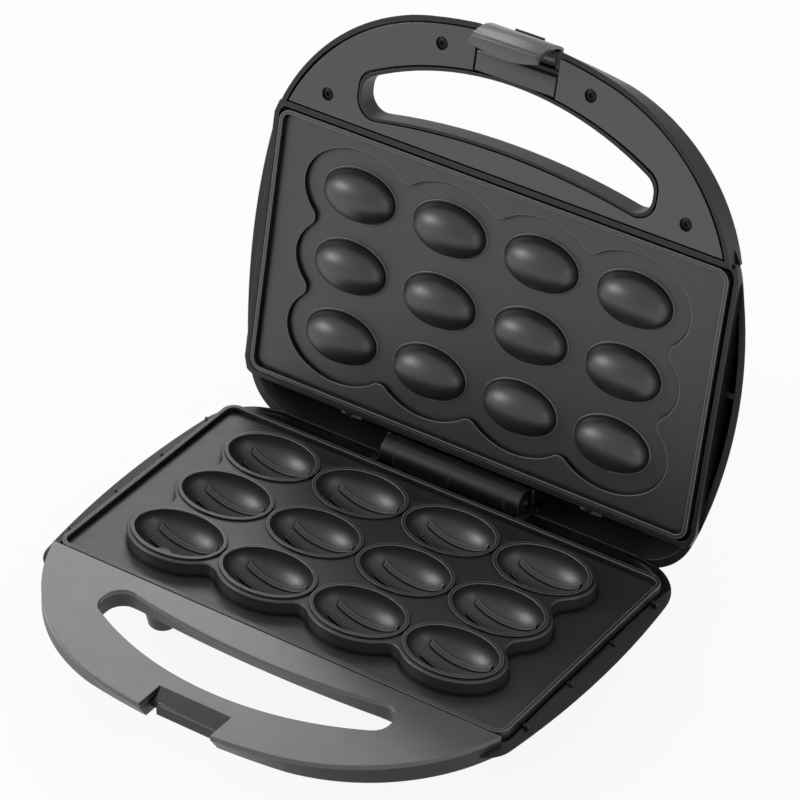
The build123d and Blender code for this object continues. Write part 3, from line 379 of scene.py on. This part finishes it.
# Closings beside the hinge
HINGE_NOTCH_HALF = 40.5
SILL_Y = (127.9, 138.8)
SILL_Z = (31.6, 35.75)
SILL_POST = (37.2, 40.6)
SILL_POST_Z = (33.4, 40.4)
FRONT_FLAP = (37.4, 38.8)
FRONT_FLAP_Y = (131.2, 137.4)
FRONT_FLAP_Z = (44.7, 53.9)
REAR_FLAP = (37.3, 40.4)
REAR_FLAP_Y = (140.5, 146.5)
REAR_FLAP_Z = (47.0, 53.9)

# Softening of the edges of a moulded piece, the turn over which an edge gets it, and the turn over which an
# edge is still drawn sharp
EDGE_R = 0.3
SOFTENED_OVER = math.radians(35)
SHARP_OVER = math.radians(32)

# Handle screws, as distances from the middle and in front of the plates
SCREW_PLACES = ((37.5, 54.3), (91.2, 13.8))
SCREW_Z = 43.85


def arc(a, b, c, steps):
    """Points of the circle arc from a to c by way of b."""
    (ax, ay), (bx, by), (cx, cy) = a, b, c
    d = 2 * (ax * (by - cy) + bx * (cy - ay) + cx * (ay - by))
    sa, sb, sc = ax * ax + ay * ay, bx * bx + by * by, cx * cx + cy * cy
    x = (sa * (by - cy) + sb * (cy - ay) + sc * (ay - by)) / d
    y = (sa * (cx - bx) + sb * (ax - cx) + sc * (bx - ax)) / d
    start = math.atan2(ay - y, ax - x)
    via = (math.atan2(by - y, bx - x) - start) % math.tau
    end = (math.atan2(cy - y, cx - x) - start) % math.tau
    end -= math.tau if via > end else 0
    radius = math.hypot(ax - x, ay - y)
    turns = [start + end * i / steps for i in range(steps + 1)]
    return [(x + radius * math.cos(t), y + radius * math.sin(t)) for t in turns]


def prism(outline, axis, low, high, bevel):
    """Prism with softened edges over a flat outline: (y, z) along X, or (x, y) along Z."""
    shape = bmesh.new()
    spots = [(low, a, b) if axis == "X" else (a, b, low) for a, b in outline]
    face = shape.faces.new([shape.verts.new(spot) for spot in spots])
    made = bmesh.ops.extrude_face_region(shape, geom=[face])["geom"]
    step = (high - low, 0, 0) if axis == "X" else (0, 0, high - low)
    bmesh.ops.translate(shape, verts=[v for v in made if isinstance(v, bmesh.types.BMVert)], vec=step)
    bmesh.ops.recalc_face_normals(shape, faces=shape.faces)
    sharp = [edge for edge in shape.edges if edge.calc_face_angle(0) > SOFTENED_OVER]
    bmesh.ops.bevel(shape, geom=sharp, offset=bevel, segments=3, profile=0.5, affect="EDGES",
                    clamp_overlap=True)
    return shape


def oblong(y, z):
    """Outline of a rectangle from its two spans."""
    return [(y[0], z[0]), (y[1], z[0]), (y[1], z[1]), (y[0], z[1])]


def both_sides(outline, near, far):
    """The same prism left and right of the middle."""
    return [prism(outline, "X", low, high, EDGE_R) for low, high in ((-far, -near), (near, far))]


def turned(profile, segments=28):
    """Solid turned about Z from (radius, z) points that start and end on the axis."""
    shape = bmesh.new()
    rings = []
    for radius, z in profile:
        if radius == 0:
            rings.append([shape.verts.new((0, 0, z))] * segments)
        else:
            turns = [math.tau * i / segments for i in range(segments)]
            rings.append([shape.verts.new((radius * math.cos(t), radius * math.sin(t), z)) for t in turns])
    for low, high in zip(rings, rings[1:]):
        for i in range(segments):
            corners = [low[i], low[i - 1], high[i - 1], high[i]]
            corners = [v for n, v in enumerate(corners) if v not in corners[:n]]
            if len(corners) > 2:
                shape.faces.new(corners)
    bmesh.ops.recalc_face_normals(shape, faces=shape.faces)
    return shape


def bead(half_length, half_width, radius, around=72, across=10):
    """Round bead along an ellipse."""
    shape = bmesh.new()
    rings = []
    up = Vector((0, 0, radius))
    for i in range(around):
        t = math.tau * i / around
        centre = Vector((half_length * math.cos(t), half_width * math.sin(t), 0))
        out = Vector((math.cos(t) / half_length, math.sin(t) / half_width, 0)).normalized()
        turns = [math.tau * j / across for j in range(across)]
        rings.append([shape.verts.new(centre + out * radius * math.cos(u) + up * math.sin(u)) for u in turns])
    for i in range(around):
        for j in range(across):
            shape.faces.new((rings[i - 1][j - 1], rings[i][j - 1], rings[i][j], rings[i - 1][j]))
    bmesh.ops.recalc_face_normals(shape, faces=shape.faces)
    return shape


def joined(shapes):
    """One mesh from shapes in mm."""
    whole = bmesh.new()
    for shape in shapes:
        part = bpy.data.meshes.new("part")
        shape.to_mesh(part)
        shape.free()
        whole.from_mesh(part)
        bpy.data.meshes.remove(part)
    mesh = bpy.data.meshes.new("joined")
    whole.to_mesh(mesh)
    whole.free()
    return mesh


def mounted(name, mesh, matrix, material, body, *replaced):
    """The mesh as a piece of its own on a body, in place of the nodes named."""
    mesh.transform(matrix)
    mesh.name = name
    mesh.materials.clear()
    mesh.materials.append(material)
    mesh.shade_smooth()
    mesh.set_sharp_from_angle(angle=SHARP_OVER)
    made = bpy.data.objects.new(name, mesh)
    bpy.context.scene.collection.objects.link(made)
    if replaced:
        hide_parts(*replaced)
    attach(made, body)


def repeat_tree():
    """Puts one shape on each point of a mesh."""
    tree = bpy.data.node_groups.new("one_on_each_point", "GeometryNodeTree")
    sockets = (("Points", "Geometry"), ("Shape", "Object"), ("Size", "Float"), ("Finish", "Material"))
    for label, kind in sockets:
        tree.interface.new_socket(label, in_out="INPUT", socket_type="NodeSocket" + kind)
    tree.interface.new_socket("Geometry", in_out="OUTPUT", socket_type="NodeSocketGeometry")
    entry = add(tree, "NodeGroupInput").outputs
    shape = add(tree, "GeometryNodeObjectInfo", {"Object": entry["Shape"]}).outputs["Geometry"]
    copies = add(tree, "GeometryNodeInstanceOnPoints", {"Points": entry["Points"], "Instance": shape,
                                                        "Scale": entry["Size"]}).outputs[0]
    solid = add(tree, "GeometryNodeRealizeInstances", {"Geometry": copies}).outputs[0]
    done = add(tree, "GeometryNodeSetMaterial", {"Geometry": solid, "Material": entry["Finish"]}).outputs[0]
    add(tree, "NodeGroupOutput", {"Geometry": done})
    return tree


REPEAT = repeat_tree()


def repeated(shapes, places, size, material):
    """Plain mesh of the shapes repeated at places, all in mm."""
    shape = bpy.data.objects.new("shape", joined(shapes))
    dots = bpy.data.meshes.new("dots")
    dots.from_pydata(places, [], [])
    holder = bpy.data.objects.new("dots", dots)
    for thing in (shape, holder):
        bpy.context.scene.collection.objects.link(thing)
    modifier = holder.modifiers.new("repeat", "NODES")
    modifier.node_group = REPEAT
    values = {"Shape": shape, "Size": size, "Finish": material}
    for item in REPEAT.interface.items_tree:
        if item.in_out == "INPUT" and item.name in values:
            modifier[item.identifier] = values[item.name]
    graph = bpy.context.evaluated_depsgraph_get()
    mesh = bpy.data.meshes.new_from_object(holder.evaluated_get(graph))
    for thing in (shape, holder):
        bpy.data.objects.remove(thing)
    return mesh


def latch():
    """Curved plate with a tight fold, a crescent lip, a grip and a hub round its pin."""
    y_out, z_low = LATCH_OUT, LATCH_LOW
    outer = arc((y_out + 3.1, LATCH_TOP), (y_out, LATCH_BELLY), (y_out + 1.0, z_low + 4.4), 14)
    fold = arc(outer[-1], (y_out + 2.3, z_low + 1.32), (y_out + 5.4, z_low), 8)
    y_in = y_out + LATCH_WALL
    inner = arc((y_out + 5.4, z_low + LIP_T), (y_in + 1.2, z_low + 6.4), (y_in, LATCH_BELLY), 8)
    inner += arc(inner[-1], (y_in + 0.6, 47.6), (y_in + 3.1, LATCH_TOP), 8)[1:]
    skin = prism(outer + fold[1:] + inner, "X", -LATCH_HALF, LATCH_HALF, LATCH_EDGE_R)
    crescent = arc((LIP_HALF, LIP_END_Y), (0, LIP_TIP_Y), (-LIP_HALF, LIP_END_Y), 24)
    root = [(-LIP_ROOT_HALF, LIP_ROOT_Y), (LIP_ROOT_HALF, LIP_ROOT_Y)]
    lip = prism(crescent + root, "Z", z_low, z_low + LIP_T, LATCH_EDGE_R)
    inside, outside = (PIN_Y + HUB_R, PIN_Z), (PIN_Y - HUB_R, PIN_Z)
    round_pin = arc(inside, (PIN_Y, PIN_Z + HUB_R), outside, 12)
    round_pin += arc(outside, (PIN_Y, PIN_Z - HUB_R), inside, 12)[1:-1]
    hub = prism(round_pin, "X", -HUB_HALF, HUB_HALF, EDGE_R)
    web = prism(oblong((WEB_Y, PIN_Y), WEB_Z), "X", -WEB_HALF, WEB_HALF, EDGE_R)
    return [skin, lip, hub, web] + grip_ribs()


def grip_ribs():
    """Short ribs under the latch's upper edge, each a little further in than the one above."""
    ribs = []
    for i in range(GRIP_RIBS):
        top = LATCH_TOP - 0.2 - GRIP_PITCH * i
        spans = (LATCH_OUT + 1.5 + GRIP_LEAN * i, LATCH_OUT + 4.6), (top - GRIP_RIB_W, top)
        ribs.append(prism(oblong(*spans), "X", -GRIP_HALF, GRIP_HALF, 0.2))
    return ribs


def panel_screw():
    """Pan head with a round socket, sunk in its hole and facing down."""
    return turned([(0, 0.7), (1.0, 0.7), (1.15, -0.2), (1.9, -0.15), (2.45, 0.2), (2.6, 0.9), (0, 0.9)])


def notch_ramp():
    """Ramp behind the base's latch notch, ending in a rounded lip."""
    nose = arc((-60.9, 39.85), (-61.5, 38.9), (-60.9, 37.6), 8)
    outline = [(-54.5, 42.72), (-60.0, 40.25)] + nose + [(-57.6, 37.6), (-54.5, 38.5)]
    return prism(outline, "X", -RAMP_HALF, RAMP_HALF, 0.2)


def notch_land():
    """Flat behind the lid's latch notch, level with the handle panel."""
    half = NOTCH_HALF - NOTCH_INSET
    return prism(oblong((-57.0, -47.9), (FACE_Z, FACE_Z + LAND_T)), "X", -half, half, 0.4)


def notch_walls():
    """Cheeks at both ends of the hub, and the wall behind it with a brim that follows the hub."""
    half = NOTCH_HALF - NOTCH_INSET
    cheek = [(-67.6, 45.7), (-64.3, 52.4), (-56.5, 52.4), (-56.5, 45.7)]
    back = [(-56.6, 45.0), (-59.2, 45.0), (-59.2, 50.6), (-60.7, 51.7), (-60.7, 52.3), (-56.6, 52.3)]
    return both_sides(cheek, CHEEK_NEAR, NOTCH_HALF) + [prism(back, "X", -half, half, 0.2)]


def hinge_sill():
    """Floor and end posts of the base's hinge notch."""
    floor_strip = prism(oblong(SILL_Y, SILL_Z), "X", -HINGE_NOTCH_HALF, HINGE_NOTCH_HALF, EDGE_R)
    return [floor_strip] + both_sides(oblong(SILL_Y, SILL_POST_Z), *SILL_POST)


def hinge_flaps():
    """Walls at both ends of the lid's hinge barrels, in front of the pin and behind it."""
    front = both_sides(oblong(FRONT_FLAP_Y, FRONT_FLAP_Z), *FRONT_FLAP)
    return front + both_sides(oblong(REAR_FLAP_Y, REAR_FLAP_Z), *REAR_FLAP)


def dome_places():
    """Middles of the domes, where they rise from the recess."""
    middle = (DOME_COLUMNS - 1) / 2, (DOME_ROWS - 1) / 2
    return [(DOME_PITCH_X * (i - middle[0]), PLATE_D / 2 + DOME_PITCH_Y * (j - middle[1]), DOME_FOOT_Z)
            for j in range(DOME_ROWS) for i in range(DOME_COLUMNS)]


IN_LID = OPEN @ TO_FRAME
screw_spots = [(s * x, -ahead, SCREW_Z) for x, ahead in SCREW_PLACES for s in (-1, 1)]
screws = repeated([panel_screw()], screw_spots, 1.0, screw_steel)
rims = repeated([bead(DOME_RIM_HALF_L, DOME_RIM_HALF_W, DOME_RIM_R)], dome_places(), 1.0, casting)

mounted("latch_plate", joined(latch()), IN_LID, latch_plastic, "latch", "latch")
mounted("latch_notch_ramp", joined([notch_ramp()]), TO_FRAME, handle_plastic, "base")
mounted("latch_notch_land", joined([notch_land()]), IN_LID, handle_plastic, "lid")
mounted("latch_notch_cheeks", joined(notch_walls()), IN_LID, shell_plastic, "lid")
mounted("hinge_sill", joined(hinge_sill()), TO_FRAME, shell_plastic, "base")
mounted("hinge_flaps", joined(hinge_flaps()), IN_LID, shell_plastic, "lid")
mounted("sunk_panel_screws", screws, IN_LID, screw_steel, "lid", "handle_panel_screws")
mounted("dome_rims", rims, IN_LID, casting, "lid")


# Floor, lights and camera

FLOOR_HALF = 9.0
FLOOR_GLOW = 0.9
FLOOR_MOTTLE_MM = 60
AIM = (0, 0, 0.1)

# The eye in mm from the middle of the plates' front edge at the base's rim, and the way it is turned
EYE = (861.6, -1172.5, 1144.9)
EYE_RIGHT = (0.82419, 0.56628, 0.00607)
EYE_UP = (-0.33014, 0.47174, 0.81760)
EYE_BACK = (0.46013, -0.67586, 0.57575)
SENSOR_MM = 36.0
FOCAL_MM = 198.46


def floor():
    """Matt pale floor that shows nearly white and keeps a faint shadow."""
    mesh = bpy.data.meshes.new("floor")
    shape = bmesh.new()
    bmesh.ops.create_grid(shape, x_segments=1, y_segments=1, size=FLOOR_HALF)
    shape.to_mesh(mesh)
    shape.free()
    plane = bpy.data.objects.new("floor", mesh)
    bpy.context.scene.collection.objects.link(plane)
    material, tree, shader, at = new_material("pale_floor")
    mottle = add(tree, "ShaderNodeTexNoise", {"Vector": at, "Scale": 1000 / FLOOR_MOTTLE_MM})
    paper = add(tree, "ShaderNodeMix", {0: mottle.outputs["Fac"], 6: linear("ffffff"), 7: linear("fbfbfb")},
                data_type="RGBA")
    tree.links.new(paper.outputs[2], shader.inputs["Base Color"])
    shader.inputs["Roughness"].default_value = 0.9
    glow = add(tree, "ShaderNodeEmission", {"Color": (1, 1, 1, 1), "Strength": 1.0}).outputs[0]
    path = add(tree, "ShaderNodeLightPath").outputs
    seen = path["Is Camera Ray"]
    for ray in ("Is Glossy Ray", "Is Transmission Ray"):
        seen = add(tree, "ShaderNodeMath", {0: seen, 1: path[ray]}, operation="MAXIMUM").outputs[0]
    share = add(tree, "ShaderNodeMath", {0: seen, 1: FLOOR_GLOW}, operation="MULTIPLY").outputs[0]
    mixed = add(tree, "ShaderNodeMixShader", {0: share, 1: shader.outputs[0], 2: glow})
    tree.links.new(mixed.outputs[0], tree.nodes["Material Output"].inputs[0])
    mesh.materials.append(material)


def world(level):
    """Even pale grey all round."""
    scene_world = bpy.data.worlds.new("studio")
    bpy.context.scene.world = scene_world
    scene_world.use_nodes = True
    tree = scene_world.node_tree
    tree.nodes.clear()
    soft = add(tree, "ShaderNodeBackground", {"Color": (1, 1, 1, 1), "Strength": level}).outputs[0]
    add(tree, "ShaderNodeOutputWorld", {"Surface": soft})


def softbox(name, at, width, height, watts):
    """Soft rectangular light at a place in metres, turned to the object."""
    lamp = bpy.data.lights.new(name, "AREA")
    lamp.shape = "RECTANGLE"
    lamp.size = width
    lamp.size_y = height
    lamp.energy = watts
    box = bpy.data.objects.new(name, lamp)
    bpy.context.scene.collection.objects.link(box)
    box.location = at
    box.rotation_euler = (Vector(AIM) - Vector(at)).to_track_quat("-Z", "Y").to_euler()


def camera():
    """The photograph's viewpoint, solved from the corners of the two plates."""
    eye = Vector((EYE[0] * MM, EYE[1] * MM + PLATE_FRONT, EYE[2] * MM + RIM_Z))
    data = bpy.data.cameras.new("camera")
    data.sensor_width = SENSOR_MM
    data.lens = FOCAL_MM
    data.clip_end = 20.0
    eye_object = bpy.data.objects.new("camera", data)
    bpy.context.scene.collection.objects.link(eye_object)
    turn = Matrix((EYE_RIGHT, EYE_UP, EYE_BACK)).transposed().to_4x4()
    eye_object.matrix_world = Matrix.Translation(eye) @ turn
    bpy.context.scene.camera = eye_object


floor()
world(level=0.6)
softbox("back_left_light", (-1.5, 1.75, 1.6), width=1.1, height=0.9, watts=7)
softbox("left_light", (-1.95, -1.2, 1.15), width=0.8, height=0.8, watts=19)
softbox("right_light", (2.0, -0.9, 0.8), width=0.4, height=1.0, watts=3)
camera()
bpy.context.scene.view_settings.view_transform = "Standard"
